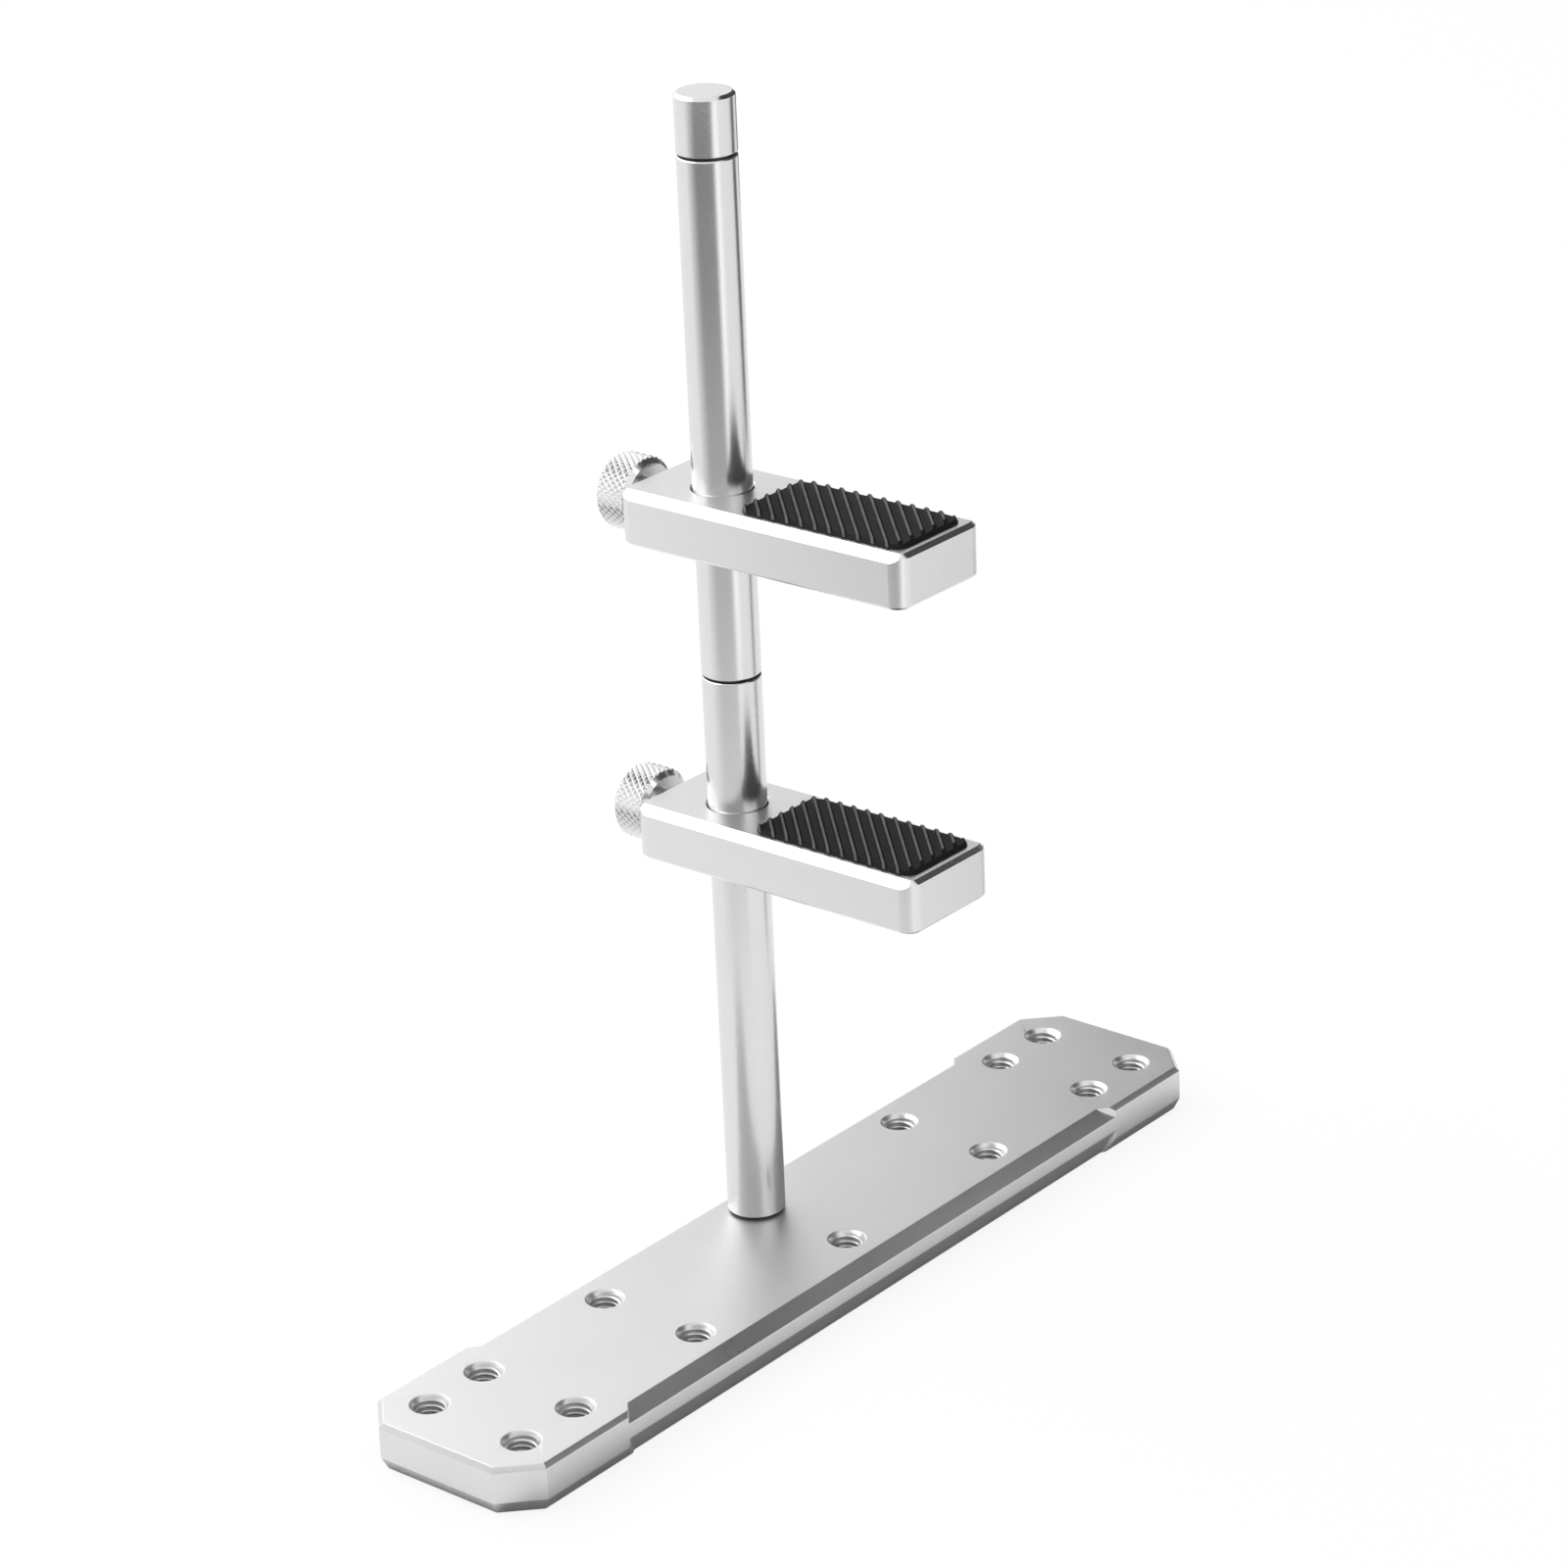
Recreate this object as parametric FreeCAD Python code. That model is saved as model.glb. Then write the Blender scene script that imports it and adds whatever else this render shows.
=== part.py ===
import FreeCAD, Part
import math
import os

from FreeCAD import Vector

# Graphics card support bracket: a fan-hole base plate, a two-section round post with a cap,
# and two padded arms that slide on the post and are clamped by knurled thumb screws.
# Origin at the centre of the base plate's underside, X along the plate, the arms point to -Y.
# All lengths are in millimetres.

# Thread shared by every hole, set screw and thumb screw
thread_diameter = 4.0
thread_clearance = 0.05
thread_tip_chamfer = 0.4

# Base plate
fan_spacing_outer = 124.5
fan_spacing_inner = 105.0
middle_spacing = 60.0
row_spacing = 15.0
plate_end_margin = 7.2
plate_side_margin = 6.3
plate_thickness = 6.4
corner_cut = 4.6
plate_top_chamfer = 0.6
plate_bottom_chamfer_width = 0.8
plate_bottom_chamfer_height = 1.7
countersink_diameter = 5.0
underside_countersink_diameter = 4.6

# Long bevels between the end pads of the plate, on both long sides
bevel_hole_margin = 2.5
bevel_runout = 2.0
top_bevel_width = 1.8
top_bevel_depth = 1.5
bottom_bevel_width = 1.2
bottom_bevel_depth = 2.9

# Post
rod_diameter = 7.5
lower_rod_length = 74.7
upper_rod_length = 66.6
cap_height = 7.7
cap_top_wall = 1.0
rod_edge_chamfer = 0.18
section_groove_height = 0.4
section_groove_depth = 0.3
cap_edge_chamfer = 0.4

# Headless set screws that join plate, rods and cap
stud_engagement = 5.5
stud_recess = 0.5
tap_runout = 0.6
hex_socket_across = 2.0
hex_socket_depth = 2.2
drill_point_angle = 118.0

# Arms
arm_width = 16.0
arm_thickness = 7.0
arm_reach = 33.8
arm_tail = 10.4
arm_corner_radius = 2.0
arm_top_chamfer = 0.55
arm_side_bevel = 1.1
arm_bottom_chamfer = 0.4
arm_bore_clearance = 0.1
arm_bore_chamfer = 0.2
lower_arm_lift = 50.3
upper_arm_lift = 17.6

# Rubber pads
pad_length = 25.2
pad_width = 12.6
pad_end_margin = 1.3
pad_corner_radius = 2.0
pad_base_thickness = 0.5
rib_height = 0.35
rib_base_width = 0.8
rib_crest_width = 0.3
rib_pitch = 1.54
rib_angle = 45.0

# Thumb screws
thumb_head_diameter = 9.8
thumb_head_gap = 1.5
thumb_inner_bevel = 0.5
thumb_knurl_length = 4.3
thumb_outer_bevel = 0.5
thumb_tip_gap = 0.1
knurl_depth = 0.3
knurl_count = 34
knurl_rows = 8

# Places worked out from the sizes above
plate_length = fan_spacing_outer + 2 * plate_end_margin
plate_width = row_spacing + 2 * plate_side_margin
post_x = 0.0
post_y = row_spacing / 2
lower_rod_z = plate_thickness
seam_z = lower_rod_z + lower_rod_length
cap_z = seam_z + upper_rod_length
lower_arm_z = plate_thickness + lower_arm_lift
upper_arm_z = seam_z + upper_arm_lift
thread_radius = thread_diameter / 2
screw_radius = thread_radius - thread_clearance
rod_radius = rod_diameter / 2
arm_front_y = post_y - arm_reach
arm_back_y = post_y + arm_tail


def revolve_profile(points):
    """Solid of revolution about the Z axis from (radius, z) points, on the axis at both ends."""
    wire = Part.makePolygon([Vector(r, 0, z) for r, z in points] + [Vector(points[0][0], 0, points[0][1])])
    return Part.Face(wire).revolve(Vector(0, 0, 0), Vector(0, 0, 1), 360)


def prism(points, height, z):
    """Upright prism over a closed outline of (x, y) points."""
    wire = Part.makePolygon([Vector(x, y, z) for x, y in points] + [Vector(points[0][0], points[0][1], z)])
    return Part.Face(wire).extrude(Vector(0, 0, height))


def side_prism(points, length):
    """Prism along X over a closed outline of (y, z) points, centred on X = 0."""
    ring = [Vector(-length / 2, y, z) for y, z in points]
    return Part.Face(Part.makePolygon(ring + [ring[0]])).extrude(Vector(length, 0, 0))


def rounded_block(x0, x1, y0, y1, z, height, radius):
    """Block with rounded upright corners."""
    block = Part.makeBox(x1 - x0, y1 - y0, height, Vector(x0, y0, z))
    upright = [e for e in block.Edges if abs(e.Vertexes[0].Z - e.Vertexes[1].Z) > height / 2]
    return block.makeFillet(radius, upright)


def edges_at(shape, z, tolerance=1e-6):
    """Edges that lie wholly at one height."""
    box = [(e, e.BoundBox) for e in shape.Edges]
    return [e for e, b in box if abs(b.ZMin - z) < tolerance and abs(b.ZMax - z) < tolerance]


def plate_outline(inset, z):
    """Corner points of the plate's outline, a rectangle with cut corners, moved inward by inset."""
    a, b = plate_length / 2 - inset, plate_width / 2 - inset
    cut = corner_cut - inset * (2 - math.sqrt(2))
    points = []
    for sx, sy in ((1, -1), (1, 1), (-1, 1), (-1, -1)):
        along, across = (sx * (a - cut), sy * b), (sx * a, sy * (b - cut))
        points += [along, across] if sx * sy < 0 else [across, along]
    return [Vector(x, y, z) for x, y in points]


def polygon_face(points):
    """Flat face inside a closed ring of points."""
    return Part.Face(Part.makePolygon(points + [points[0]]))


def band(first, second):
    """Flat facets between two rings with the same number of corners."""
    turned = [(i, (i + 1) % len(first)) for i in range(len(first))]
    return [polygon_face([first[i], first[k], second[k], second[i]]) for i, k in turned]


def closed_solid(faces):
    """Solid inside a closed set of faces."""
    shell = Part.makeShell(faces)
    shell.sewShape()
    solid = Part.makeSolid(shell)
    if solid.Volume < 0:
        solid.reverse()
    return solid


def stacked_rings(rings):
    """Solid with flat facets between one ring of points and the next, and both ends closed."""
    faces = [polygon_face(rings[0]), polygon_face(rings[-1])]
    for first, second in zip(rings, rings[1:]):
        faces += band(first, second)
    return closed_solid(faces)


def hole_places():
    """Centres of the fourteen threaded holes: two rows of seven."""
    columns = [0.0]
    for spacing in (middle_spacing, fan_spacing_inner, fan_spacing_outer):
        columns += [-spacing / 2, spacing / 2]
    return [(x, sy * row_spacing / 2) for x in sorted(columns) for sy in (-1, 1)]


def plate_hole(x, y):
    """Cutter for one threaded hole, countersunk on top and eased underneath."""
    top, under = countersink_diameter / 2, underside_countersink_diameter / 2
    t, r = plate_thickness, thread_radius
    profile = [(0, 0), (under, 0), (r, under - r), (r, t - (top - r)), (top, t), (0, t)]
    cutter = revolve_profile(profile)
    cutter.translate(Vector(x, y, 0))
    return cutter


def long_bevel(side, surface_z, width, depth, inward):
    """Cutter for one bevel along a long edge, with slanted run-outs at both ends.

    surface_z is the height of the face that it starts from and inward is -1 from the top
    face downward and 1 from the underside upward.
    """
    half = fan_spacing_inner / 2 - bevel_hole_margin
    edge = plate_width / 2
    over = plate_thickness
    section = [(side * (edge - width), surface_z), (side * edge, surface_z + inward * depth)]
    slope = depth / width
    section.append((side * (edge + over), surface_z + inward * (depth + slope * over)))
    section.append((side * (edge + over), surface_z - inward * over))
    section.append((side * (edge - width), surface_z - inward * over))
    wedge = side_prism(section, 2 * half)
    run = bevel_runout * (width + over) / width
    near, far = half - bevel_runout, half - bevel_runout + run
    outline = [(-near, side * (edge - width)), (near, side * (edge - width)),
               (far, side * (edge + over)), (-far, side * (edge + over))]
    return wedge.common(prism(outline, 4 * over, surface_z - 2 * over))


def base_plate():
    """Octagonal plate with chamfered rims, four long bevels and fourteen threaded holes."""
    plate = stacked_rings([
        plate_outline(plate_bottom_chamfer_width, 0),
        plate_outline(0, plate_bottom_chamfer_height),
        plate_outline(0, plate_thickness - plate_top_chamfer),
        plate_outline(plate_top_chamfer, plate_thickness),
    ])
    cutters = [plate_hole(x, y) for x, y in hole_places()]
    for side in (-1, 1):
        cutters.append(long_bevel(side, plate_thickness, top_bevel_width, top_bevel_depth, -1))
        cutters.append(long_bevel(side, 0, bottom_bevel_width, bottom_bevel_depth, 1))
    return plate.cut(cutters)


def tapped_depth():
    """Depth of the full-width part of each blind threaded hole."""
    return stud_engagement + tap_runout


def drill_point(radius):
    """Height of the cone that the drill leaves at the bottom of a blind hole."""
    return radius / math.tan(math.radians(drill_point_angle / 2))


def groove_profile():
    """Foot of a post section: the step that leaves a thin groove above whatever it stands on."""
    r, foot = rod_radius, rod_radius - section_groove_depth
    return [(thread_radius, 0), (foot, 0), (foot, section_groove_height), (r, section_groove_height)]


def rod(length, z):
    """Post section: round bar with a groove at its foot and a blind threaded hole in each end."""
    r, c, bore = rod_radius, rod_edge_chamfer, thread_radius
    depth, point = tapped_depth(), drill_point(thread_radius)
    top = [(r, length - c), (r - c, length), (bore, length)]
    holes = [(bore, length - depth), (0, length - depth - point), (0, depth + point), (bore, depth)]
    bar = revolve_profile(groove_profile() + top + holes)
    bar.translate(Vector(post_x, post_y, z))
    return bar


def post_cap():
    """Cap of the post: groove at its foot, bevelled top rim, blind threaded hole from below."""
    r, c, bore, h = rod_radius, cap_edge_chamfer, thread_radius, cap_height
    depth = min(tapped_depth(), h - cap_top_wall - drill_point(bore))
    top = [(r, h - c), (r - c, h), (0, h)]
    cap = revolve_profile(groove_profile() + top + [(0, depth + drill_point(bore)), (bore, depth)])
    cap.translate(Vector(post_x, post_y, cap_z))
    return cap


def set_screw(bottom, top):
    """Headless screw with chamfered ends and a hexagon socket in its lower end."""
    r, c, length = screw_radius, thread_tip_chamfer, top - bottom
    body = revolve_profile([(0, 0), (r - c, 0), (r, c), (r, length - c), (r - c, length), (0, length)])
    across = hex_socket_across / 2 / math.cos(math.pi / 6)
    corners = [(across * math.cos(i * math.pi / 3), across * math.sin(i * math.pi / 3)) for i in range(6)]
    body = body.cut(prism(corners, hex_socket_depth, 0))
    body.translate(Vector(post_x, post_y, bottom))
    return body


def arm_side_cutter(side, top):
    """Cutter for the 45 degree bevel along one long top edge of an arm."""
    edge, over = arm_width / 2, arm_thickness
    section = [(side * (edge - arm_side_bevel - over), top + over), (side * (edge + over), top + over),
               (side * (edge + over), top - arm_side_bevel - over)]
    ring_at = [Vector(x, arm_front_y - over, z) for x, z in section]
    return polygon_face(ring_at).extrude(Vector(0, arm_back_y - arm_front_y + 2 * over, 0))


def arm(z):
    """Arm: rounded bar with a bore for the post and a threaded cross hole from its back end."""
    half = arm_width / 2
    block = rounded_block(-half, half, arm_front_y, arm_back_y, z, arm_thickness, arm_corner_radius)
    block = block.makeChamfer(arm_top_chamfer, edges_at(block, z + arm_thickness))
    block = block.makeChamfer(arm_bottom_chamfer, edges_at(block, z))
    block = block.cut([arm_side_cutter(side, z + arm_thickness) for side in (-1, 1)])
    r, c, t = rod_radius + arm_bore_clearance, arm_bore_chamfer, arm_thickness
    bore = revolve_profile([(0, 0), (r + c, 0), (r, c), (r, t - c), (r + c, t), (0, t)])
    bore.translate(Vector(post_x, post_y, z))
    cross = Part.makeCylinder(thread_radius, arm_tail, Vector(post_x, post_y, z + t / 2), Vector(0, 1, 0))
    mouth = Part.makeCone(thread_radius, thread_radius + thread_tip_chamfer, thread_tip_chamfer,
                          Vector(post_x, arm_back_y - thread_tip_chamfer, z + t / 2), Vector(0, 1, 0))
    return block.cut([bore, cross, mouth])


def rib_section(base):
    """Outline of one rib across its run, sunk a little into the pad's base."""
    a, b = rib_base_width / 2, rib_crest_width / 2
    root = pad_base_thickness / 2
    crest = base + rib_height
    return [(-a, base - root), (a, base - root), (a, base), (b, crest), (-b, crest), (-a, base)]


def pad(arm_z):
    """Rubber pad on an arm: thin base with rounded corners and slanted ribs across its top."""
    z = arm_z + arm_thickness
    half = pad_width / 2
    y0 = arm_front_y + pad_end_margin
    y1 = y0 + pad_length
    base = rounded_block(-half, half, y0, y1, z, pad_base_thickness, pad_corner_radius)
    outline = rounded_block(-half, half, y0, y1, z, pad_base_thickness + rib_height, pad_corner_radius)
    angle = math.radians(rib_angle)
    reach = (pad_length * math.sin(angle) + pad_width * math.cos(angle)) / 2
    run = pad_length + pad_width
    count = int(reach / rib_pitch)
    ribs = []
    for i in range(-count, count + 1):
        section = side_prism(rib_section(z + pad_base_thickness), run)
        section.translate(Vector(0, i * rib_pitch, 0))
        section.rotate(Vector(0, 0, 0), Vector(0, 0, 1), rib_angle)
        section.translate(Vector(0, (y0 + y1) / 2, 0))
        ribs.append(section.common(outline))
    return base.fuse([r for r in ribs if r.Volume > 0]).removeSplitter()


def ring(radius, y, columns):
    """Corner points of a regular ring about the Y axis."""
    step = 2 * math.pi / columns
    return [Vector(radius * math.cos(i * step), y, radius * math.sin(i * step)) for i in range(columns)]


def knurl_faces(columns, y):
    """Diamond knurl: pyramids on a staggered grid, with their valleys as crossing grooves."""
    crest = thumb_head_diameter / 2
    valley = crest - knurl_depth
    row_height = thumb_knurl_length / knurl_rows
    step = 2 * math.pi / columns
    grid = []
    for row in range(knurl_rows + 1):
        at_rim = row in (0, knurl_rows)
        radii = [valley if at_rim or (i + row) % 2 else crest for i in range(columns)]
        grid.append([Vector(r * math.cos(i * step), y + row * row_height, r * math.sin(i * step))
                     for i, r in enumerate(radii)])
    faces = []
    for row in range(knurl_rows):
        for i in range(columns):
            k = (i + 1) % columns
            a, b, c, d = grid[row][i], grid[row][k], grid[row + 1][k], grid[row + 1][i]
            groove_from_a = (i + row) % 2 == 1
            halves = ((a, b, c), (a, c, d)) if groove_from_a else ((a, b, d), (b, c, d))
            faces += [polygon_face(list(half)) for half in halves]
    return faces


def thumb_head(y):
    """Knurled head with bevelled rims, from its inner face outward along +Y."""
    columns = 2 * knurl_count
    rim = thumb_head_diameter / 2 - knurl_depth
    knurl_y = y + thumb_inner_bevel
    end_y = knurl_y + thumb_knurl_length
    inner = ring(rim - thumb_inner_bevel, y, columns)
    outer = ring(rim - thumb_outer_bevel, end_y + thumb_outer_bevel, columns)
    faces = [polygon_face(inner), polygon_face(outer)]
    faces += band(inner, ring(rim, knurl_y, columns))
    faces += knurl_faces(columns, knurl_y)
    faces += band(ring(rim, end_y, columns), outer)
    return closed_solid(faces)


def thumb_screw(arm_z):
    """Thumb screw: knurled head outside the arm's back end, shank that ends at the rod."""
    head_y = arm_back_y + thumb_head_gap
    tip_y = post_y + rod_radius + thumb_tip_gap
    length = head_y - tip_y
    r, c = screw_radius, thread_tip_chamfer
    root = length + thumb_inner_bevel
    shank = revolve_profile([(0, 0), (r - c, 0), (r, c), (r, root), (0, root)])
    shank.rotate(Vector(0, 0, 0), Vector(1, 0, 0), -90)
    shank.translate(Vector(0, tip_y, 0))
    screw = thumb_head(head_y).fuse(shank)
    screw.translate(Vector(post_x, 0, arm_z + arm_thickness / 2))
    return screw


def parts():
    """Every piece of the bracket by its name."""
    return {
        "base_plate": base_plate(),
        "base_stud": set_screw(stud_recess, lower_rod_z + stud_engagement),
        "lower_rod": rod(lower_rod_length, lower_rod_z),
        "joint_stud": set_screw(seam_z - stud_engagement, seam_z + stud_engagement),
        "upper_rod": rod(upper_rod_length, seam_z),
        "cap_stud": set_screw(cap_z - stud_engagement, cap_z + stud_engagement - tap_runout),
        "post_cap": post_cap(),
        "lower_arm": arm(lower_arm_z),
        "lower_pad": pad(lower_arm_z),
        "lower_thumb_screw": thumb_screw(lower_arm_z),
        "upper_arm": arm(upper_arm_z),
        "upper_pad": pad(upper_arm_z),
        "upper_thumb_screw": thumb_screw(upper_arm_z),
    }


os.makedirs("parts", exist_ok=True)
for name, shape in parts().items():
    if not shape.isValid() or len(shape.Solids) != 1:
        raise ValueError(name + " is not one valid solid")
    shape.Solids[0].exportStep("parts/" + name + ".step")
    print(name, "volume", round(shape.Volume, 1), "mm3")
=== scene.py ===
import math

import bpy
from mathutils import Matrix, Vector

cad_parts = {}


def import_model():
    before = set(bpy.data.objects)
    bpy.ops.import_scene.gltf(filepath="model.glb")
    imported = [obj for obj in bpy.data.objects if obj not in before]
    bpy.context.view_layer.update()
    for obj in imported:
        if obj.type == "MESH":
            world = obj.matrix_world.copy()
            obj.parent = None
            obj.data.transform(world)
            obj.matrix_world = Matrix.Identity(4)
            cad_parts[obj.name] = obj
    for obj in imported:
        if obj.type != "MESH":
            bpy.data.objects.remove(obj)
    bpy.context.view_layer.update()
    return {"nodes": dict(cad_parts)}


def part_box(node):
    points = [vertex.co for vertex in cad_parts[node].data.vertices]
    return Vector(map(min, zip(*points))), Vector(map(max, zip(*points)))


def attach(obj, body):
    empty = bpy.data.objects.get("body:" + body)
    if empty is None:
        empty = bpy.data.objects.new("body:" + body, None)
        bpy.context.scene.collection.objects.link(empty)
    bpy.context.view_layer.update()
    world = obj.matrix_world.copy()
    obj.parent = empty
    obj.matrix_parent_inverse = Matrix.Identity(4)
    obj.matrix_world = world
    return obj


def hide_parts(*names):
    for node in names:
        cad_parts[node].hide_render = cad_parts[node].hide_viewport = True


# Graphics card support bracket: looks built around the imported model.
# Lengths named in capitals are in millimetres and turned into metres by MM.

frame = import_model()
nodes = frame["nodes"]

MM = 0.001
FULL_TURN = 2 * math.pi

PLATE_HALF_LENGTH = 69.45
PLATE_HALF_WIDTH = 13.8
PLATE_TOP = 6.4           # height of the plate's top face
POST_Y = 7.5              # the post's axis
POST_TOP = 155.4          # top of the cap
ROD_RADIUS = 3.75

PITCH = 0.7               # thread pitch
THREAD_WALL = 2.0         # radius of the threaded holes in the frame
THREAD_CREST = 1.64       # radius of the thread's crests in a hole
THREAD_SHOULDER = 1.83    # radius where a ridge narrows to its crest
COUNTERSINK = 2.5         # radius of a hole's mouth in the top face
UNDER_COUNTERSINK = 2.3   # radius of a hole's mouth in the underside
HOLE_COLUMNS = (60.0, 105.0, 124.5)     # distance between the columns of each hole pattern
HOLE_ROW = 7.5            # distance of each row of holes from the plate's middle


# Meshes

def new_piece(name, verts, faces, body, material, smooth=False):
    """Mesh object from millimetre points, riding on a body."""
    mesh = bpy.data.meshes.new(name)
    mesh.from_pydata([(x * MM, y * MM, z * MM) for x, y, z in verts], [], faces)
    mesh.validate()
    mesh.polygons.foreach_set("use_smooth", [smooth] * len(mesh.polygons))
    mesh.materials.append(material)
    obj = bpy.data.objects.new(name, mesh)
    bpy.context.scene.collection.objects.link(obj)
    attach(obj, body)
    return obj


def grid_faces(rows, columns, start=0):
    """Quads between rows of points, closed round each row."""
    faces = []
    for r in range(rows - 1):
        for c in range(columns):
            k = (c + 1) % columns
            a, b = start + r * columns, start + (r + 1) * columns
            faces.append((a + c, a + k, b + k, b + c))
    return faces


# Materials

GRAIN = 0.16              # size of the blasted grain
FINE_GRAIN = 0.45 * GRAIN
CLOUD = 9.0               # size of the soft variation over aluminium
STEEL_GRAIN = 0.12
STEEL_CLOUD = 2.5
RUBBER_GRAIN = 0.09
RUBBER_CLOUD = 1.8
# Painted shade in the grooves between the post's sections.
GROOVE_SHADE_TONE = (0.06, 0.06, 0.06)
RUBBER_TONES = ((0.003, 0.003, 0.003), (0.01, 0.01, 0.01))
# Painted highlight along the pad's rib crests.
CREST_HIGHLIGHT_TONE = (0.12, 0.12, 0.12)


class Nodes:
    """Small helper that adds and links shader nodes."""

    def __init__(self, name):
        self.material = bpy.data.materials.new(name)
        self.material.use_nodes = True
        self.tree = self.material.node_tree
        self.tree.nodes.clear()
        self.shader = self.add("ShaderNodeBsdfPrincipled")
        out = self.add("ShaderNodeOutputMaterial")
        self.link(self.shader.outputs[0], out.inputs["Surface"])
        self.coord = self.add("ShaderNodeTexCoord").outputs["Object"]

    def add(self, kind, **values):
        """New node. Each value is a property of the node or else one of its inputs."""
        node = self.tree.nodes.new(kind)
        for key, value in values.items():
            if hasattr(node, key):
                setattr(node, key, value)
            else:
                node.inputs[key.replace("_", " ")].default_value = value
        return node

    def link(self, a, b):
        self.tree.links.new(a, b)

    def noise(self, size_mm, detail=2.0, roughness=0.5):
        node = self.add("ShaderNodeTexNoise", Scale=1.0 / (size_mm * MM),
                        Detail=detail, Roughness=roughness)
        self.link(self.coord, node.inputs["Vector"])
        return node.outputs["Fac"]

    def ramp(self, value, low, high, a, b):
        """Maps value from low..high to a..b, held at the ends."""
        node = self.add("ShaderNodeMapRange", clamp=True)
        node.inputs["From Min"].default_value = low
        node.inputs["From Max"].default_value = high
        node.inputs["To Min"].default_value = a
        node.inputs["To Max"].default_value = b
        self.link(value, node.inputs["Value"])
        return node.outputs["Result"]

    def math(self, operation, a, b=0.0):
        node = self.add("ShaderNodeMath", operation=operation)
        for i, value in enumerate((a, b)):
            if isinstance(value, (int, float)):
                node.inputs[i].default_value = value
            else:
                self.link(value, node.inputs[i])
        return node.outputs[0]

    def mix(self, factor, a, b):
        """Colour between a and b."""
        node = self.add("ShaderNodeMix", data_type="RGBA")
        self.link(factor, node.inputs[0])
        for socket, value in ((node.inputs[6], a), (node.inputs[7], b)):
            if isinstance(value, tuple):
                socket.default_value = (*value, 1.0)
            else:
                self.link(value, socket)
        return node.outputs[2]

    def bump(self, height, distance_mm, strength=1.0):
        node = self.add("ShaderNodeBump")
        node.inputs["Strength"].default_value = strength
        node.inputs["Distance"].default_value = distance_mm * MM
        self.link(height, node.inputs["Height"])
        return node.outputs[0]

    def split(self, vector):
        """The X, Y and Z outputs of a vector."""
        node = self.add("ShaderNodeSeparateXYZ")
        self.link(vector, node.inputs[0])
        return node.outputs

    def set(self, name, value):
        """Gives an input of the surface shader a constant or a link."""
        socket = self.shader.inputs[name]
        if isinstance(value, (int, float)):
            socket.default_value = value
        elif isinstance(value, tuple):
            socket.default_value = (*value, 1.0)
        else:
            self.link(value, socket)


def slope_mask(n):
    """1 on faces that lean between level and upright, such as chamfers and countersinks."""
    normal = n.split(n.add("ShaderNodeNewGeometry").outputs["True Normal"])
    level = n.math("ABSOLUTE", normal["Z"])
    return n.math("MULTIPLY", n.ramp(level, 0.3, 0.4, 0.0, 1.0),
                  n.ramp(level, 0.93, 0.97, 1.0, 0.0))


def groove_shade_mask(n):
    """1 in the thin grooves between the post's sections, where painted shade darkens the colour; 0
    on its skin and on the cap's top.
    """
    place = n.split(n.coord)
    across = n.math("POWER", n.math("ABSOLUTE", place["X"]), 2.0)
    along = n.math("POWER", n.math("ABSOLUTE", n.math("SUBTRACT", place["Y"], POST_Y * MM)), 2.0)
    radius = n.math("SQRT", n.math("ADD", across, along))
    inside = n.ramp(radius, (ROD_RADIUS - 0.19) * MM, (ROD_RADIUS - 0.12) * MM, 1.0, 0.0)
    below_top = n.ramp(place["Z"], (POST_TOP - 1) * MM, (POST_TOP - 0.9) * MM, 1.0, 0.0)
    return n.math("MULTIPLY", inside, below_top)


def aluminium(name, tone, rough, edge_rough, grain_depth, shaded_grooves=False):
    """Blasted or satin aluminium, its chamfers cut brighter; with shaded_grooves, painted shade
    darkens the post's grooves.
    """
    n = Nodes(name)
    grain = n.noise(GRAIN, 2.5, 0.6)
    fine = n.noise(FINE_GRAIN, 1.0)
    cloud = n.noise(CLOUD, 3.0, 0.55)
    edge = slope_mask(n)
    shade = n.math("ADD", n.ramp(grain, 0.3, 0.7, -0.04, 0.04),
                   n.ramp(cloud, 0.3, 0.7, -0.012, 0.012))
    dark = tuple(c * 0.9 for c in tone)
    light = tuple(min(1.0, c * 1.1) for c in tone)
    colour = n.mix(n.ramp(shade, -0.1, 0.1, 0.0, 1.0), dark, light)
    if shaded_grooves:
        # Painted shade: the colour goes near black in the grooves between the post's sections.
        colour = n.mix(groove_shade_mask(n), colour, GROOVE_SHADE_TONE)
    n.set("Base Color", colour)
    n.set("Metallic", 1.0)
    body_rough = n.math("ADD", n.ramp(cloud, 0.3, 0.7, rough - 0.02, rough + 0.02),
                        n.ramp(grain, 0.3, 0.7, -0.03, 0.03))
    smoother = n.math("MULTIPLY", edge, rough - edge_rough)
    n.set("Roughness", n.math("SUBTRACT", body_rough, smoother))
    height = n.math("ADD", grain, n.math("MULTIPLY", fine, 0.5))
    n.set("Normal", n.bump(height, grain_depth))
    return n.material


def bright_metal(name, tone, rough):
    """Plated steel with a faint grain and handling marks."""
    n = Nodes(name)
    grain = n.noise(STEEL_GRAIN, 3.0, 0.6)
    cloud = n.noise(STEEL_CLOUD, 3.0)
    dull = tuple(c * 0.93 for c in tone)
    n.set("Base Color", n.mix(n.ramp(cloud, 0.3, 0.7, 0.0, 1.0), dull, tone))
    n.set("Metallic", 1.0)
    n.set("Roughness", n.ramp(cloud, 0.3, 0.7, rough - 0.03, rough + 0.03))
    n.set("Normal", n.bump(grain, 0.004, 0.6))
    return n.material


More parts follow.
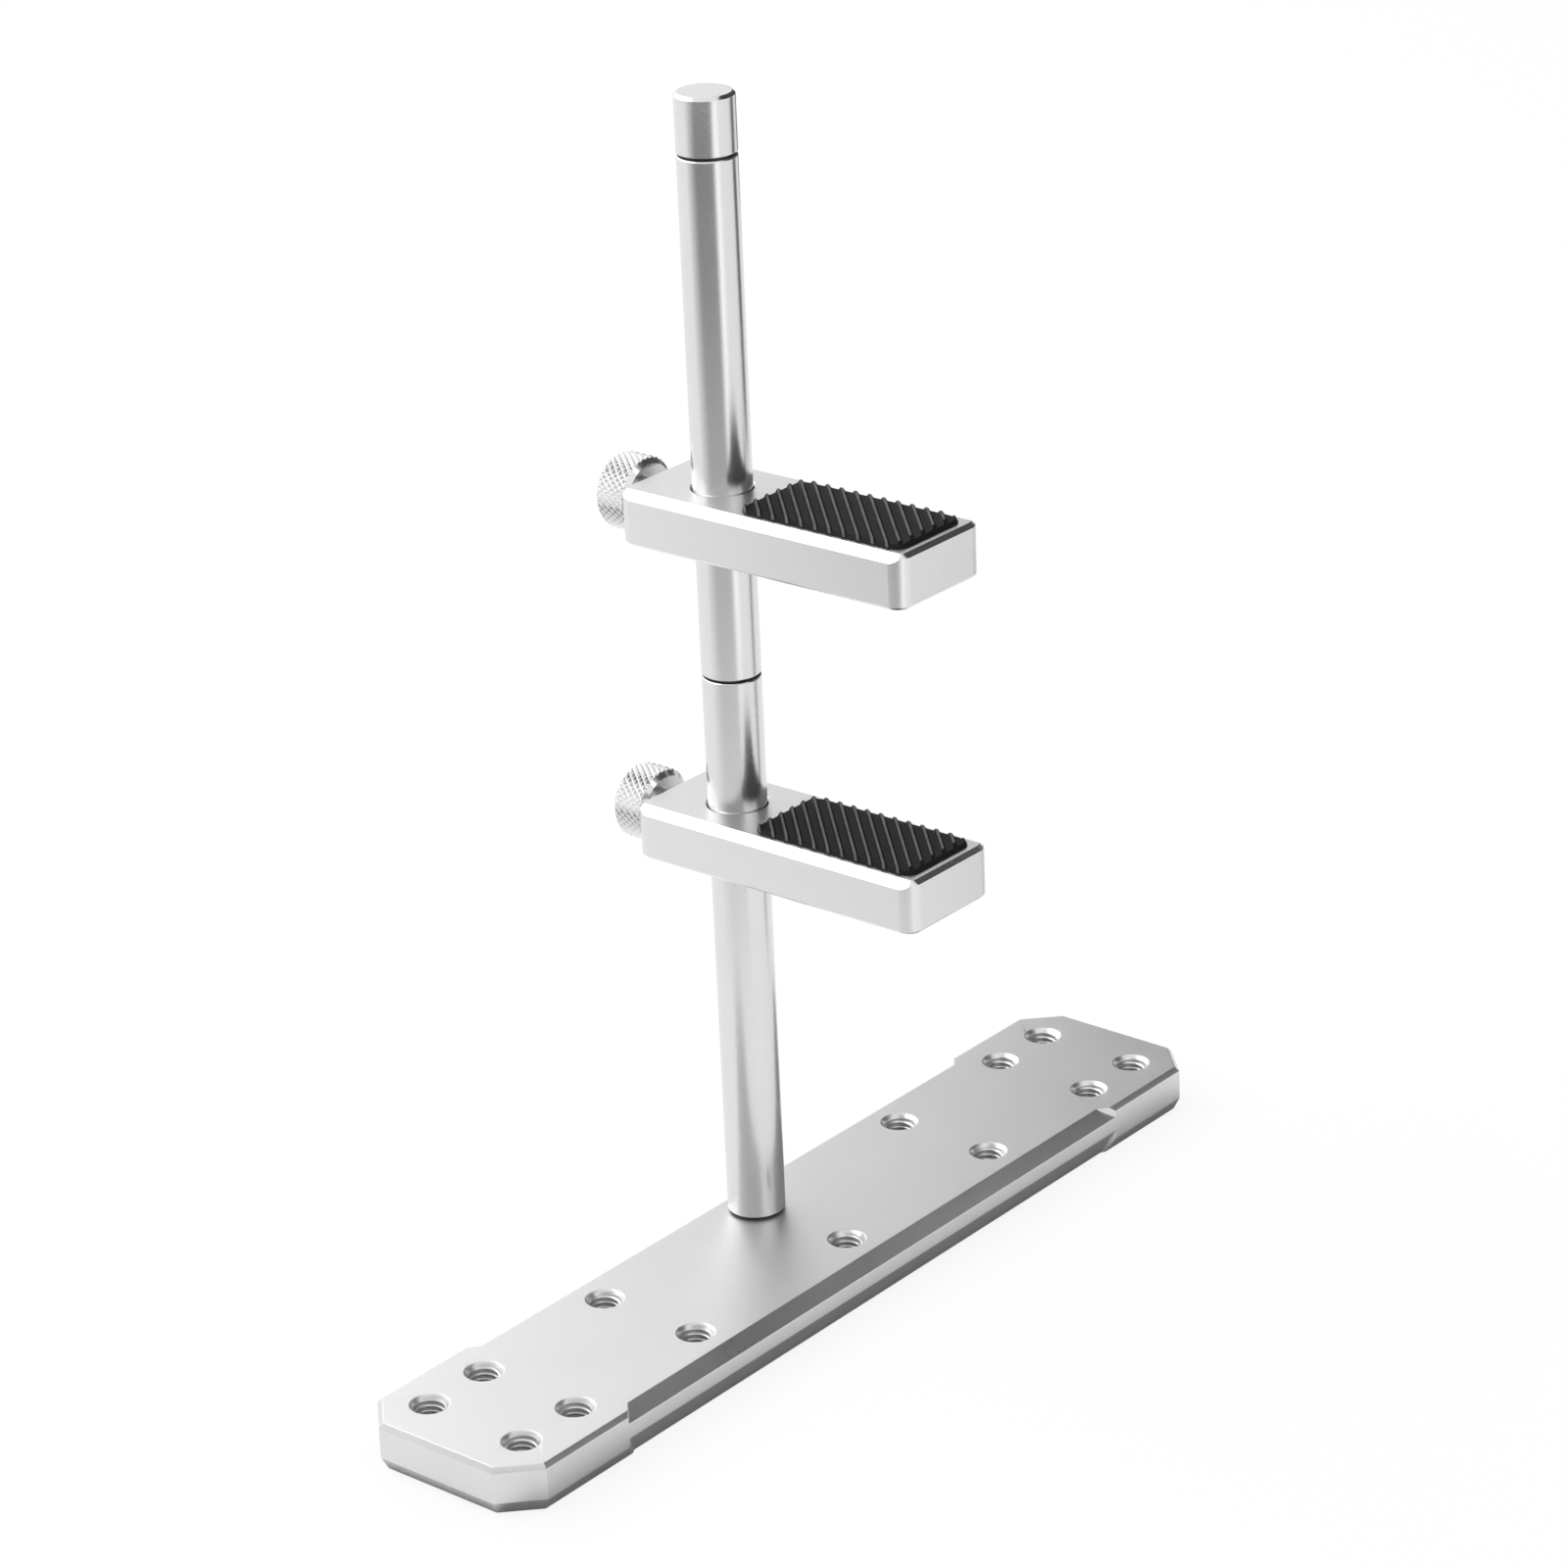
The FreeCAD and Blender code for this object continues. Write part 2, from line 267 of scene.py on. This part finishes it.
def rubber(name):
    """Black rubber with a painted highlight along the rib crests, broken up by a soft cloud."""
    n = Nodes(name)
    rise = n.add("ShaderNodeAttribute", attribute_name="rise").outputs["Fac"]
    grain = n.noise(RUBBER_GRAIN, 2.0, 0.6)
    cloud = n.noise(RUBBER_CLOUD, 3.0)
    # Painted highlight: the colour lightens on the rib crests, varied by the cloud.
    crest_highlight = n.math("MULTIPLY", n.ramp(rise, 0.8, 0.99, 0.0, 1.0),
                  n.ramp(cloud, 0.25, 0.6, 0.55, 1.0))
    ground = n.mix(n.ramp(grain, 0.3, 0.7, 0.0, 1.0), *RUBBER_TONES)
    n.set("Base Color", n.mix(crest_highlight, ground, CREST_HIGHLIGHT_TONE))
    n.set("Specular IOR Level", 0.14)
    n.set("Roughness", n.ramp(grain, 0.3, 0.7, 0.62, 0.5))
    n.set("Normal", n.bump(grain, 0.02, 0.8))
    return n.material


PALE = (0.74, 0.74, 0.74)
BLASTED = aluminium("blasted_aluminium", PALE, 0.42, 0.31, 0.012)
BLASTED_ARM = aluminium("blasted_arm_aluminium", (0.76, 0.76, 0.76), 0.33, 0.15, 0.01)
# The satin aluminium carries painted shade in the post's grooves.
SATIN = aluminium("satin_aluminium", PALE, 0.24, 0.15, 0.002, shaded_grooves=True)
STEEL = bright_metal("bright_steel", (0.82, 0.82, 0.82), 0.2)
DARK_STEEL = bright_metal("set_screw_steel", (0.25, 0.25, 0.26), 0.3)
RUBBER = rubber("pad_rubber")


# Frame nodes

PLATE_EASE = 0.09         # width of the eased edges
POST_EASE = 0.06
WELD_GAP = 0.002
EASE_ANGLE = math.radians(18)


def dress(name, material, ease_width=0.0):
    """Gives a frame node its material, and eased edges where a width is given."""
    obj = nodes[name]
    if not obj.material_slots:
        obj.data.materials.append(material)
    obj.material_slots[0].link = "OBJECT"
    obj.material_slots[0].material = material
    if ease_width:
        weld = obj.modifiers.new("weld", "WELD")
        weld.merge_threshold = WELD_GAP * MM
        ease = obj.modifiers.new("ease", "BEVEL")
        ease.width = ease_width * MM
        ease.segments = 2
        ease.limit_method = "ANGLE"
        ease.angle_limit = EASE_ANGLE
        ease.use_clamp_overlap = True
        ease.loop_slide = False
        even = obj.modifiers.new("even", "WEIGHTED_NORMAL")
        even.mode = "FACE_AREA"
        even.weight = 100


dress("base_plate", BLASTED, PLATE_EASE)
for name in ("lower_arm", "upper_arm"):
    dress(name, BLASTED_ARM, PLATE_EASE)
for name in ("lower_rod", "upper_rod", "post_cap"):
    dress(name, SATIN, POST_EASE)
for name in ("base_stud", "joint_stud", "cap_stud"):
    dress(name, DARK_STEEL)


# Threads in the plate

RIDGE_STEPS = 40          # points round one turn of a thread
RIDGE_SINK = 0.03         # how far a ridge reaches into the wall of its hole
RIDGE_FOOT, RIDGE_SHOULDER, RIDGE_CREST = 0.23, 0.13, 0.03      # half widths of a ridge
RIDGE_MARGIN = 0.25       # from a ridge's middle line to both faces of the plate


def hole_ridge(verts, faces, x, y, phase):
    """Thread ridge in one plate hole, cut back by the countersinks at both mouths."""
    outer = THREAD_WALL + RIDGE_SINK
    profile = [(outer, -RIDGE_FOOT), (THREAD_SHOULDER, -RIDGE_SHOULDER),
               (THREAD_CREST, -RIDGE_CREST), (THREAD_CREST, RIDGE_CREST),
               (THREAD_SHOULDER, RIDGE_SHOULDER), (outer, RIDGE_FOOT)]
    low, high = RIDGE_MARGIN, PLATE_TOP - RIDGE_MARGIN
    count = int((high - low) / PITCH * RIDGE_STEPS)
    start = len(verts)
    for i in range(count + 1):
        z = low + i * PITCH / RIDGE_STEPS
        angle = FULL_TURN * i / RIDGE_STEPS + phase
        for radius, rise in profile:
            height = z + rise
            cone = max(height - (PLATE_TOP - COUNTERSINK), UNDER_COUNTERSINK - height)
            r = max(radius, cone + RIDGE_SINK / 2)
            verts.append((x + r * math.cos(angle), y + r * math.sin(angle), height))
    width = len(profile)
    faces += grid_faces(count + 1, width, start)
    faces.append(tuple(range(start, start + width)))
    faces.append(tuple(reversed(range(start + count * width, start + (count + 1) * width))))


def plate_threads():
    """Ridges in all holes but the one that holds the post's set screw."""
    verts, faces = [], []
    columns = [0.0] + [side * x / 2 for x in HOLE_COLUMNS for side in (-1, 1)]
    for i, x in enumerate(sorted(columns)):
        for row in (-1, 1):
            if x or row < 0:
                hole_ridge(verts, faces, x, row * HOLE_ROW, 0.9 * i + row)
    new_piece("plate_threads", verts, faces, "base", BLASTED, True)


plate_threads()


# Thumb screws

KNURLS = 34
PER_KNURL = 10            # points round the head for each knurl
HEAD_LENGTH = 5.3
HEAD_RADIUS = 4.9
HEAD_BEVEL = 0.5
KNURL_DEPTH = 0.3         # step from the knurl's crests to the smooth rims
KNURL_CUT = 0.24          # depth of the crossing grooves
KNURL_PERIOD = 1.075
KNURL_FLAT = 0.06         # share of the period that is left flat on a crest
DISH_RIM = 0.45           # width of the flat rim round the dished outer face
DISH_SLOPE = 0.15
DISH_DEPTH = 0.12
DISH_CENTRE = 0.35
SHANK_CREST = 1.95        # radii of the shank's thread
SHANK_ROOT = 1.57
SHANK_TIP = 1.55
SHANK_STEP = PITCH / 8


def groove(u):
    """1 in the middle of a V groove, 0 half a period away."""
    return abs(2 * (u % 1.0) - 1)


def clamp(value):
    return min(1.0, max(0.0, value))


def head_radius(column, y, inner, outer):
    """Radius of the knurled head between its inner and outer end faces."""
    turn = column / PER_KNURL
    along = y / KNURL_PERIOD
    cut = max(groove(turn + along), groove(turn - along))
    knurl = HEAD_RADIUS - KNURL_CUT * clamp((cut - KNURL_FLAT) / (1 - KNURL_FLAT))
    end = HEAD_RADIUS - KNURL_DEPTH - HEAD_BEVEL
    return min(knurl, end + (y - inner), end + (outer - y))


def shank_radius(column, y, tip):
    """Radius of the threaded shank, chamfered at its tip."""
    u = y / PITCH + column / KNURLS
    thread = SHANK_CREST - (SHANK_CREST - SHANK_ROOT) * clamp((groove(u) - 0.1) / 0.8)
    return min(thread, SHANK_TIP + (y - tip))


def thumb_screw(name, node, body):
    """Knurled head and threaded shank of one thumb screw, turned about a line along Y."""
    low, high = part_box(node)
    cx, cz = (low.x + high.x) / 2 / MM, (low.z + high.z) / 2 / MM
    tip, outer = low.y / MM, high.y / MM
    inner = outer - HEAD_LENGTH
    columns = KNURLS * PER_KNURL
    verts, faces = [], []

    def ring(count, y, radius_at):
        for c in range(count):
            a = FULL_TURN * c / count
            r = radius_at(c)
            verts.append((cx + r * math.cos(a), y, cz + r * math.sin(a)))

    knurl_length = HEAD_LENGTH - 2 * HEAD_BEVEL
    steps = int(knurl_length / KNURL_PERIOD * PER_KNURL)
    knurl_levels = [inner + HEAD_BEVEL + knurl_length * i / steps for i in range(steps + 1)]
    levels = [inner] + knurl_levels + [outer]
    for y in levels:
        ring(columns, y, lambda c: head_radius(c, y, inner, outer))
    faces += [tuple(reversed(f)) for f in grid_faces(len(levels), columns)]
    rim = HEAD_RADIUS - KNURL_DEPTH - HEAD_BEVEL - DISH_RIM
    for radius, depth in ((rim, 0.0), (rim - DISH_SLOPE, DISH_DEPTH), (DISH_CENTRE, DISH_DEPTH)):
        ring(columns, outer - depth, lambda c: radius)
        faces += [tuple(reversed(f)) for f in grid_faces(2, columns, len(verts) - 2 * columns)]
    faces.append(tuple(reversed(range(len(verts) - columns, len(verts)))))

    shank = len(verts)
    rows = int((inner - tip) / SHANK_STEP)
    for i in range(rows + 1):
        y = inner - i * SHANK_STEP if i < rows else tip
        ring(KNURLS, y, lambda c: shank_radius(c, y, tip))
    faces += grid_faces(rows + 1, KNURLS, shank)
    faces.append(tuple(range(len(verts) - KNURLS, len(verts))))
    for c in range(KNURLS):
        a = [(c * PER_KNURL + j) % columns for j in range(PER_KNURL + 1)]
        for j in range(PER_KNURL):
            faces.append((shank + c, a[j], a[j + 1]))
        faces.append((shank + c, a[-1], shank + (c + 1) % KNURLS))
    obj = new_piece(name, verts, faces, body, STEEL)
    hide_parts(node)


thumb_screw("lower_thumb_screw_turned", "lower_thumb_screw", "lower_knob")
thumb_screw("upper_thumb_screw_turned", "upper_thumb_screw", "upper_knob")


# Rubber pads

RIB_CELLS = 30            # mesh steps from one rib to the next
RIB_STEP = 1.54 * math.sqrt(2) / RIB_CELLS
RIB_FOOT, RIB_FLANK = 8, 6      # in mesh steps: a rib's half width and the width of its flank
RIB_STOP, RIB_RUN_OUT = 0.5, 0.6        # where the ribs end before the pad's free end
PAD_CORNER = 2.0
PAD_BASE = 0.5            # thickness between the ribs
PAD_RIB = 0.35            # height of the ribs above that
PAD_RIM = 0.45            # width of the sloping rim
RIM_BASE = 0.25           # share of the base's thickness that is left at the rim's outer edge
RIM_RIB = 0.15            # share of a rib's height that is left there
WEAVE_DEPTH = 0.02


def rib_rise(x, y):
    """Height share of the ribs, 1 on a crest and 0 on the ground between them."""
    u = (x - y) / (RIB_CELLS * RIB_STEP)
    off = abs(u - round(u)) * RIB_CELLS
    t = clamp((RIB_FOOT - off) / RIB_FLANK)
    return t * t * (3 - 2 * t)


def weave(x, y):
    """Fine moulded cross pattern between the ribs."""
    a = math.sin(FULL_TURN * (x + y) / 0.5)
    b = math.sin(FULL_TURN * (x - y) / 0.55)
    return 0.5 * (a * b)


def pad(name, node, body):
    """Ribbed rubber pad with rounded corners, filling the box of its frame node."""
    low, high = (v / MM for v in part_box(node))
    half = (high.x - low.x) / 2
    mid = (low.y + high.y) / 2
    rows = int((high.y - low.y) / RIB_STEP)
    columns = int(2 * half / RIB_STEP)
    verts, rises = [], []
    for j in range(rows + 1):
        y = min(low.y + j * RIB_STEP, high.y) if j < rows else high.y
        d = min(y - low.y, high.y - y)
        w = half
        if d < PAD_CORNER:
            w += math.sqrt(max(0.0, PAD_CORNER ** 2 - (PAD_CORNER - d) ** 2)) - PAD_CORNER
        for i in range(columns + 1):
            x = -w + 2 * w * i / columns
            edge = clamp(min(w - abs(x), d) / PAD_RIM)
            rise = rib_rise(x, y - mid) * clamp((y - low.y - RIB_STOP) / RIB_RUN_OUT)
            base = PAD_BASE * (RIM_BASE + (1 - RIM_BASE) * edge)
            rib = PAD_RIB * rise * (RIM_RIB + (1 - RIM_RIB) * math.sin(edge * math.pi / 2))
            fine = WEAVE_DEPTH * weave(x, y) * (1 - rise) * edge
            verts.append((x, y, low.z + base + rib + fine))
            rises.append(rise)
    wide = columns + 1
    faces = []
    for j in range(rows):
        for i in range(columns):
            a, b = j * wide + i, (j + 1) * wide + i
            faces += [(a, a + 1, b + 1), (a, b + 1, b)]
    rim = list(range(wide))
    rim += [j * wide + columns for j in range(1, rows + 1)]
    rim += [rows * wide + i for i in range(columns - 1, -1, -1)]
    rim += [j * wide for j in range(rows - 1, 0, -1)]
    foot, n = len(verts), len(rim)
    for r in rim:
        verts.append((verts[r][0], verts[r][1], low.z))
        rises.append(0.0)
    for i in range(n):
        k = (i + 1) % n
        faces.append((rim[i], foot + i, foot + k, rim[k]))
    faces.append(tuple(reversed(range(foot, foot + n))))
    obj = new_piece(name, verts, faces, body, RUBBER)
    obj.data.attributes.new("rise", "FLOAT", "POINT").data.foreach_set("value", rises)
    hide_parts(node)


pad("lower_pad_ribbed", "lower_pad", "lower_arm_body")
pad("upper_pad_ribbed", "upper_pad", "upper_arm_body")


# Stage, lights and camera. Lengths here are in metres, angles in degrees.

WHITE = (1.0, 1.0, 1.0)
FLOOR_TONE = (0.9, 0.9, 0.9)
# Painted contact shadow on the floor, seen in reflections.
CONTACT_SHADOW_TONE = (0.29, 0.29, 0.29)
FLOOR_GLOW = 0.85         # share of plain white in what the camera and reflections see
SOFT_WORLD = 0.9          # strength of the surroundings as a light
AIM = (0.0, 0.0, 0.06)    # what the lights point at


class Stage(Nodes):
    """Material or world whose nodes end in one mixed surface shader."""

    def __init__(self, owner):
        self.tree = owner.node_tree
        self.tree.nodes.clear()

    def flat(self, kind, colour, strength=None):
        node = self.add(kind)
        node.inputs["Color"].default_value = (*colour, 1.0)
        if strength is not None:
            node.inputs["Strength"].default_value = strength
        return node

    def blend(self, factor, a, b):
        node = self.add("ShaderNodeMixShader")
        self.link(factor, node.inputs[0])
        self.link(a.outputs[0], node.inputs[1])
        self.link(b.outputs[0], node.inputs[2])
        return node

    def mirrored(self, path):
        """1 for rays that come from a reflection or through glass."""
        return self.math("MAXIMUM", path.outputs["Is Glossy Ray"],
                         path.outputs["Is Transmission Ray"])

    def end(self, kind, shader):
        self.link(shader.outputs[0], self.add(kind).inputs["Surface"])


def stage_object(name, material_name, verts, faces):
    """Object of the studio, with an emptied material of its own."""
    mesh = bpy.data.meshes.new(name)
    mesh.from_pydata(verts, [], faces)
    obj = bpy.data.objects.new(name, mesh)
    bpy.context.scene.collection.objects.link(obj)
    material = bpy.data.materials.new(material_name)
    material.use_nodes = True
    mesh.materials.append(material)
    return obj, Stage(material)


def floor():
    """Pale floor that shows nearly white to the camera and keeps the object's shadow; in
    reflections it takes a painted contact shadow beside the plate's long sides.
    """
    size, drop = 3.0, -0.0002
    corners = [(-size, -size, drop), (size, -size, drop), (size, size, drop), (-size, size, drop)]
    obj, n = stage_object("floor", "stage_white", corners, [(0, 1, 2, 3)])
    path = n.add("ShaderNodeLightPath")
    mirror = n.mirrored(path)
    place = n.split(n.add("ShaderNodeTexCoord").outputs["Object"])
    off_x = n.math("SUBTRACT", n.math("ABSOLUTE", place["X"]), PLATE_HALF_LENGTH * MM)
    off_y = n.math("SUBTRACT", n.math("ABSOLUTE", place["Y"]), PLATE_HALF_WIDTH * MM)
    away = n.math("MAXIMUM", off_x, off_y)
    clear = n.math("MULTIPLY", mirror, n.ramp(away, 0.005, 0.05, 0.0, FLOOR_GLOW))
    share = n.math("MAXIMUM", n.math("MULTIPLY", path.outputs["Is Camera Ray"], FLOOR_GLOW), clear)
    # Painted contact shadow: reflected rays see the floor darker beside the plate's long sides.
    contact_shadow_zone = n.math("MULTIPLY", n.ramp(off_y, 0.002, 0.0065, 1.0, 0.0),
                    n.ramp(off_x, -0.001, 0.001, 1.0, 0.0))
    base = n.flat("ShaderNodeBsdfDiffuse", FLOOR_TONE)
    reflected_contact_shadow = n.math("MULTIPLY", mirror, contact_shadow_zone)
    n.link(n.mix(reflected_contact_shadow, FLOOR_TONE, CONTACT_SHADOW_TONE), base.inputs["Color"])
    glow = n.flat("ShaderNodeEmission", WHITE, 1.0)
    n.end("ShaderNodeOutputMaterial", n.blend(share, base, glow))


def world():
    """White surroundings for the camera and for reflections, softer as a light."""
    w = bpy.data.worlds.new("studio")
    bpy.context.scene.world = w
    w.use_nodes = True
    n = Stage(w)
    path = n.add("ShaderNodeLightPath")
    seen = n.math("MAXIMUM", path.outputs["Is Camera Ray"], n.mirrored(path))
    soft = n.flat("ShaderNodeBackground", WHITE, SOFT_WORLD)
    white = n.flat("ShaderNodeBackground", WHITE, 1.0)
    n.end("ShaderNodeOutputWorld", n.blend(seen, soft, white))


def toward(azimuth, elevation):
    """Unit vector from the object; azimuth 0 is in front of it, on the -Y side."""
    a, e = math.radians(azimuth), math.radians(elevation)
    return Vector((math.sin(a) * math.cos(e), -math.cos(a) * math.cos(e), math.sin(e)))


def soft_light(name, azimuth, elevation, distance, size, power):
    """Area light aimed at the bracket."""
    back = toward(azimuth, elevation)
    data = bpy.data.lights.new(name, "AREA")
    data.shape = "RECTANGLE"
    data.size, data.size_y = size
    data.energy = power
    obj = bpy.data.objects.new(name, data)
    bpy.context.scene.collection.objects.link(obj)
    obj.location = Vector(AIM) + back * distance
    obj.rotation_mode = "QUATERNION"
    obj.rotation_quaternion = back.to_track_quat("Z", "Y")


def card(name, span, radius, heights, tones, fade):
    """Upright curved studio card round the bracket, seen only in reflections.

    Its tone runs from its foot to its top. It fades to plain white at both sides over the
    angles in fade, and wherever a ray meets it steeply.
    """
    start, end = span
    steps = 24
    verts, faces = [], []
    for i in range(steps + 1):
        d = toward(start + (end - start) * i / steps, 0)
        verts += [(d.x * radius, d.y * radius, z) for z in heights]
        if i:
            faces.append((2 * i - 2, 2 * i, 2 * i + 1, 2 * i - 1))
    obj, n = stage_object(name, name, verts, faces)
    place = n.split(n.add("ShaderNodeTexCoord").outputs["Object"])
    middle = math.radians((start + end) / 2)
    along = n.math("ADD", n.math("MULTIPLY", place["X"], math.cos(middle)),
                   n.math("MULTIPLY", place["Y"], math.sin(middle)))
    across = n.math("SUBTRACT", n.math("MULTIPLY", place["X"], math.sin(middle)),
                    n.math("MULTIPLY", place["Y"], math.cos(middle)))
    angle = n.math("ARCTAN2", along, across)
    half = math.radians(end - start) / 2
    left, right = (math.radians(f) for f in fade)
    window = n.math("MULTIPLY", n.ramp(angle, -half, left - half, 0.0, 1.0),
                    n.ramp(angle, half - right, half, 1.0, 0.0))
    facing = n.add("ShaderNodeLayerWeight").outputs["Facing"]
    window = n.math("MULTIPLY", window, n.ramp(facing, 0.45, 0.6, 1.0, 0.0))
    tone = n.ramp(place["Z"], *heights, *tones)
    strength = n.math("ADD", n.math("MULTIPLY", n.math("SUBTRACT", tone, 1.0), window), 1.0)
    glow = n.flat("ShaderNodeEmission", WHITE)
    n.link(strength, glow.inputs["Strength"])
    n.end("ShaderNodeOutputMaterial", glow)
    for ray in ("camera", "diffuse", "shadow", "transmission"):
        setattr(obj, "visible_" + ray, False)


def camera():
    """Camera at the photograph's viewing angle, for a square picture."""
    azimuth, elevation, roll = -49.66, 22.82, math.radians(-2.49)
    place_mm = (-435.54, -370.14, 308.43)
    focal_pixels, picture_pixels = 5087.4, 1600.0
    back = toward(azimuth, elevation)
    level = Vector((-back.y, back.x, 0.0)).normalized()
    up = back.cross(level)
    right = level * math.cos(roll) + up * math.sin(roll)
    up = back.cross(right)
    data = bpy.data.cameras.new("camera")
    data.sensor_width = 36.0
    data.lens = data.sensor_width * focal_pixels / picture_pixels
    data.clip_start, data.clip_end = 0.01, 20.0
    obj = bpy.data.objects.new("camera", data)
    bpy.context.scene.collection.objects.link(obj)
    turn = Matrix((right, up, back)).transposed().to_4x4()
    obj.matrix_world = Matrix.Translation(Vector(place_mm) * MM) @ turn
    bpy.context.scene.camera = obj


floor()
world()
# Lights: azimuth, elevation, distance, size, power.
soft_light("key", 207, 46, 0.9, (1.0, 0.6), 3.4)
soft_light("back", 160, 26, 0.9, (0.5, 0.4), 0.6)
# Cards: azimuths, radius, heights, tones at foot and top, fades.
card("dark_card", (28, 130), 0.5, (0.15, 1.0), (0.1, 0.03), (2, 14))
card("low_card", (97, 124), 0.5, (0.0, 0.15), (0.06, 0.08), (6, 6))
card("line_card", (46, 60), 0.1, (0.0, 0.078), (0.3, 0.12), (3, 4))
card("high_line_card", (57, 82), 0.1, (0.078, 0.14), (0.12, 0.02), (4, 5))
card("dim_card", (227, 334), 0.1, (0.0, 0.14), (0.9, 0.12), (37, 8))
card("white_card", (336, 357), 0.2, (0.0, 0.2), (1.35, 1.35), (3, 8))
camera()
bpy.context.scene.view_settings.view_transform = "Standard"
